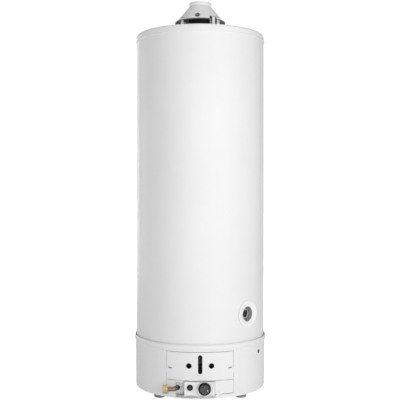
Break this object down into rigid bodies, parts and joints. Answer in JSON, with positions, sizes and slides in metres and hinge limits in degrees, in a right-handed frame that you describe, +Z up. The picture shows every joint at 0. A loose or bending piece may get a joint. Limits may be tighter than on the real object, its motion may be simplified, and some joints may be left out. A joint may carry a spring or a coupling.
{
  "type": "tank water heater",
  "caption": "Floor-standing round gas storage water heater with a white jacket, a base housing with controls and a gas inlet, a side port and a draught hood on top.",
  "frame": {"origin": "on the tank's vertical axis, at the level of the floor that the feet stand on", "axes": "+Z up along the tank's axis; -Y towards the front, where the controls are; +X to the right as seen from the front"},
  "size_m": [0.511, 0.5315, 1.499],
  "materials": {
    "painted_white": "gloss white stove enamel",
    "white_moulding": "satin white moulded plastic",
    "black_moulding": "black moulded plastic",
    "grey_moulding": "dark grey moulded plastic",
    "foot_rubber": "dark grey rubber",
    "black_rubber": "black rubber",
    "white_rubber": "white trim",
    "galvanised": "galvanised sheet",
    "screw_steel": "zinc-plated",
    "tank_steel": "glass-lined steel",
    "flue_steel": "dark enamelled steel",
    "stainless": "stainless sheet",
    "nipple_steel": "zinc-plated steel",
    "socket_steel": "machined steel",
    "foam": "rigid foam",
    "red_plastic": "red collar",
    "blue_plastic": "blue collar",
    "dip_plastic": "natural plastic",
    "anode_metal": "cast magnesium alloy",
    "brass": "machined brass",
    "copper": "drawn copper",
    "aluminium_tube": "drawn aluminium",
    "valve_casting": "die-cast",
    "ceramic": "glazed ceramic",
    "lead_insulation": "high-tension lead",
    "sight_glass": "clear",
    "sensor_body": "dark phenolic thermostat",
    "spring_steel": "spring wire"
  },
  "bodies": {
    "casing": {"base_ring": "painted_white", "base_pan": "galvanised", "feet": "foot_rubber", "tank_legs": "galvanised", "lower_panel_left": "painted_white", "lower_panel_right": "painted_white", "casing_screws": "painted_white", "jacket": "painted_white", "lid": "painted_white", "insulation": "foam", "tank_shell": "tank_steel", "tank_top_head": "tank_steel", "tank_bottom_head": "tank_steel", "flue_tube": "flue_steel", "flue_baffle": "stainless", "hot_outlet_nipple": "nipple_steel", "cold_inlet_nipple": "nipple_steel", "hot_ring": "red_plastic", "cold_ring": "blue_plastic", "dip_tube": "dip_plastic", "anode_plug": "nipple_steel", "anode_rod": "anode_metal", "thermowell": "brass", "thermostat_bulb": "copper", "side_port_socket": "socket_steel", "side_port_escutcheon": "white_rubber", "chamber_floor": "galvanised", "chamber_door": "flue_steel", "sight_glass": "sight_glass", "burner": "stainless", "burner_legs": "galvanised", "injector": "brass", "burner_gas_pipe": "aluminium_tube", "pilot_burner": "stainless", "pilot_tube": "aluminium_tube", "thermocouple": "copper", "spark_electrode": "ceramic", "ignition_lead": "lead_insulation", "valve_bracket": "galvanised", "gas_valve_body": "valve_casting", "gas_valve_cover": "white_moulding", "piezo_body": "black_moulding", "piezo_bezel": "black_moulding", "gas_inlet_pipe": "copper", "pipe_grommet": "black_rubber", "hood_cone": "painted_white", "hood_legs": "painted_white", "hood_rivets": "screw_steel", "sensor_strap": "painted_white", "spill_sensor": "sensor_body", "flue_spigot": "painted_white"},
    "plunger": {"pilot_plunger": "brass", "knob_spring": "spring_steel"},
    "knob": {"control_spindle": "brass", "control_knob": "grey_moulding"},
    "igniter_button": {"piezo_button": "black_moulding", "piezo_spring": "spring_steel"},
    "cover": {"access_cover": "painted_white", "cover_screws": "painted_white"},
    "inlet_nut": {"gas_inlet_nut": "brass"}
  },
  "joints": [
    {"name": "knob_push", "type": "slide", "parent": "casing", "child": "plunger", "axis": [0, 1, 0], "range_m": [0, 0.0045], "stiffness_N_per_m": 900, "springref_m": -0.004},
    {"name": "knob_turn", "type": "hinge", "parent": "plunger", "child": "knob", "pos_m": [0.016, -0.266, 0.0582], "axis": [0, -1, 0], "range_deg": [0, 270]},
    {"name": "igniter_push", "type": "slide", "parent": "casing", "child": "igniter_button", "axis": [0, 1, 0], "range_m": [0, 0.0045], "stiffness_N_per_m": 1500, "springref_m": -0.004},
    {"name": "cover_off", "type": "slide", "parent": "casing", "child": "cover", "axis": [0, -1, 0], "range_m": [0, 0.08]},
    {"name": "nut_spin", "type": "hinge", "parent": "casing", "child": "inlet_nut", "pos_m": [-0.126, -0.249, 0.054], "axis": [1, 0, 0], "continuous": true}
  ]
}
